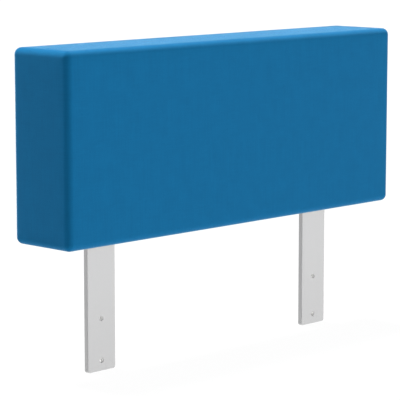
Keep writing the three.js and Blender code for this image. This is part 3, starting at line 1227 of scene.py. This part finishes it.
def make_strap(hand):
    """A drilled flat bar with rounded corners, its powder-coated edges softened all round, and its bores bare
    steel made lighter, partly as painted light in the holes.
    """
    look = bpy.context.scene.desk_panel_strap
    low, high = STRAPS[hand]
    middle = (low + high) / 2
    half, corner = (high.x - low.x) / 2, look.corner
    centres = [
        (middle.x + half - corner, high.z - corner),
        (middle.x - half + corner, high.z - corner),
        (middle.x - half + corner, low.z + corner),
        (middle.x + half - corner, low.z + corner),
    ]
    outline = []
    for k, (x, z) in enumerate(centres):
        outline += arc(x, z, corner, k * HALF_PI, (k + 1) * HALF_PI, 8)
    heights = [look.first, look.first + look.spacing] + [look.inside + k * look.spacing for k in range(3)]
    curve = bpy.data.curves.new("strap outline", "CURVE")
    curve.dimensions = "2D"
    curve.fill_mode = "BOTH"
    add_ring(curve, outline)
    for height in heights:
        add_ring(curve, arc(middle.x, low.z + height, look.hole / 2, 0, -2 * math.pi, 40)[:-1])
    curve.extrude = (high.y - low.y) / 2 - look.rounding
    curve.bevel_depth = look.rounding
    curve.bevel_resolution = 3
    curve.offset = -look.rounding
    drawn = placed("strap outline", curve)
    mesh = evaluated_mesh(drawn)
    bpy.data.objects.remove(drawn)
    stand = Matrix.Translation((0, middle.y, 0)) @ Matrix.Rotation(HALF_PI, 4, "X")
    mesh.transform(stand)
    welded = bmesh.new()
    welded.from_mesh(mesh)
    bmesh.ops.remove_doubles(welded, verts=welded.verts, dist=0.001 * MM)
    strap = object_from(welded, f"strap_{hand}")
    flattened = strap.modifiers.new("Weighted normals", "WEIGHTED_NORMAL")
    flattened.weight = 100
    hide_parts(f"leg_strap_{hand}")
    painted = grained_material(
        "light grey powder coat", look.colour, 1300.0, 0.02, 0.03 * MM, 0.42, handling=0.012
    )
    dress(strap, painted)
    # the bore walls get a light bare-steel colour: partly the bare steel of a drilled hole, partly painted
    # light that stands in for light reaching into the holes
    bore_with_painted_light = grained_material("drilled steel", (0.82, 0.82, 0.81), 2500.0, 0.1, 0.02 * MM, 0.6)
    strap.data.materials.append(bore_with_painted_light)
    drilled = [Vector((middle.x, low.z + height)) for height in heights]
    for face in strap.data.polygons:
        spot = Vector((face.center.x, face.center.z))
        if abs(face.normal.y) < 0.1 and min((spot - d).length for d in drilled) < look.hole * 0.6:
            face.material_index = 1


class DESKPANEL_OT_straps(bpy.types.Operator):
    """Make the drilled steel straps"""

    bl_idname = "desk_panel.straps"
    bl_label = "Straps"

    def execute(self, context):
        for hand in STRAPS:
            make_strap(hand)
        return {"FINISHED"}


# ---- Stage ----
LIGHTS = {
    "top": ((0.0, 0.3, 0.95), 20),
    "right": ((0.65, -0.76, 0.02), 24),
    "left": ((-0.4, 0.9, 0.05), 14),
}  # the way towards each light, and its width in degrees


def add_sun(name, towards, strength, angle):
    """A broad soft light that shines from the direction towards."""
    lamp = bpy.data.lights.new(name, "SUN")
    lamp.energy = strength
    lamp.angle = angle
    light = placed(name, lamp)
    light.rotation_mode = "QUATERNION"
    light.rotation_quaternion = Vector(towards).to_track_quat("Z", "Y")


def add_sky(strength):
    """Even light from all round, with a white background behind the object."""
    world = bpy.data.worlds.new("studio")
    bpy.context.scene.world = world
    world.use_nodes = True
    world.node_tree.nodes.clear()
    t = Tree(world.node_tree)
    seen = t.add("LightPath").outputs["Is Camera Ray"]
    back = t.add("Background", {"Color": (1, 1, 1, 1), "Strength": t.choose(seen, strength, 1.0)})
    t.add("OutputWorld", {"Surface": back.outputs[0]})


class DESKPANEL_OT_stage(bpy.types.Operator):
    """Make the floor, the lights and the camera"""

    bl_idname = "desk_panel.stage"
    bl_label = "Stage"

    def execute(self, context):
        look = context.scene.desk_panel_stage
        size, level = look.floor / 2, CAD_BOX[0].z
        corners = [(-size, -size, level), (size, -size, level), (size, size, level), (-size, size, level)]
        floor = mesh_object("floor", corners, [[0, 1, 2, 3]])

        def build(t, shader):
            place = t.add("TexCoord").outputs["Object"]
            grain = use_group(t, "fine grain", Vector=place, Scale=90.0, Change=0.02)
            colour = t.scaled((look.grey,) * 3, grain.outputs["Lightness"])
            t.feed(shader.inputs["Base Color"], colour)
            shader.inputs["Roughness"].default_value = 0.9
            shader.inputs["Specular IOR Level"].default_value = 0.0
            shader.inputs["Emission Color"].default_value = (1, 1, 1, 1)
            shader.inputs["Emission Strength"].default_value = look.glow
            seen = t.add("LightPath").outputs["Is Camera Ray"]
            below = t.math("MULTIPLY", seen, t.add("NewGeometry").outputs["Backfacing"])
            t.feed(shader.inputs["Alpha"], t.math("SUBTRACT", 1.0, below))

        floor.data.materials.append(material("pale floor", build))
        add_sky(look.sky)
        for name, (towards, width) in LIGHTS.items():
            add_sun(f"{name} light", towards, getattr(look, name), math.radians(width))

        back = Vector((
            math.sin(look.azimuth) * math.cos(look.elevation),
            -math.cos(look.azimuth) * math.cos(look.elevation),
            math.sin(look.elevation),
        ))
        right = Vector((math.cos(look.azimuth), math.sin(look.azimuth), 0))
        up = back.cross(right)
        aim = (COVER[0] + COVER[1]) / 2 + right * look.aim_right + up * look.aim_up
        data = bpy.data.cameras.new("camera")
        data.lens = look.lens
        data.sensor_width = 36
        data.clip_end = 200
        camera = placed("camera", data)
        camera.location = aim + back * look.distance
        camera.rotation_mode = "QUATERNION"
        camera.rotation_quaternion = back.to_track_quat("Z", "Y")
        context.scene.camera = camera
        context.scene.view_settings.view_transform = "Standard"
        return {"FINISHED"}


# ---- Add-on ----
STEPS = (
    DESKPANEL_OT_stage,
    DESKPANEL_OT_cover,
    DESKPANEL_OT_back_panel,
    DESKPANEL_OT_stitches,
    DESKPANEL_OT_dust_cover,
    DESKPANEL_OT_staples,
    DESKPANEL_OT_wadding,
    DESKPANEL_OT_foam,
    DESKPANEL_OT_timber,
    DESKPANEL_OT_fixings,
    DESKPANEL_OT_straps,
)
SETTINGS = {
    "desk_panel_cover": CoverSettings,
    "desk_panel_cloth": ClothSettings,
    "desk_panel_strap": StrapSettings,
    "desk_panel_fixing": FixingSettings,
    "desk_panel_stage": StageSettings,
}


class DESKPANEL_PT_sidebar(bpy.types.Panel):
    """Lists the pieces of the desk panel and their settings"""

    bl_idname = "DESKPANEL_PT_sidebar"
    bl_label = "Desk panel"
    bl_space_type = "VIEW_3D"
    bl_region_type = "UI"
    bl_category = "Desk panel"

    def draw(self, context):
        for step in STEPS:
            self.layout.operator(step.bl_idname)
        for name in SETTINGS:
            group = getattr(context.scene, name)
            box = self.layout.box()
            for key in group.__annotations__:
                box.prop(group, key)


def register():
    for cls in (*SETTINGS.values(), *STEPS, DESKPANEL_PT_sidebar):
        bpy.utils.register_class(cls)
    for name, cls in SETTINGS.items():
        setattr(bpy.types.Scene, name, PointerProperty(type=cls))


def unregister():
    for name in SETTINGS:
        delattr(bpy.types.Scene, name)
    for cls in reversed((*SETTINGS.values(), *STEPS, DESKPANEL_PT_sidebar)):
        bpy.utils.unregister_class(cls)


def main():
    register()
    for step in STEPS:
        group, name = step.bl_idname.split(".")
        getattr(getattr(bpy.ops, group), name)()


if __name__ == "__main__":
    main()
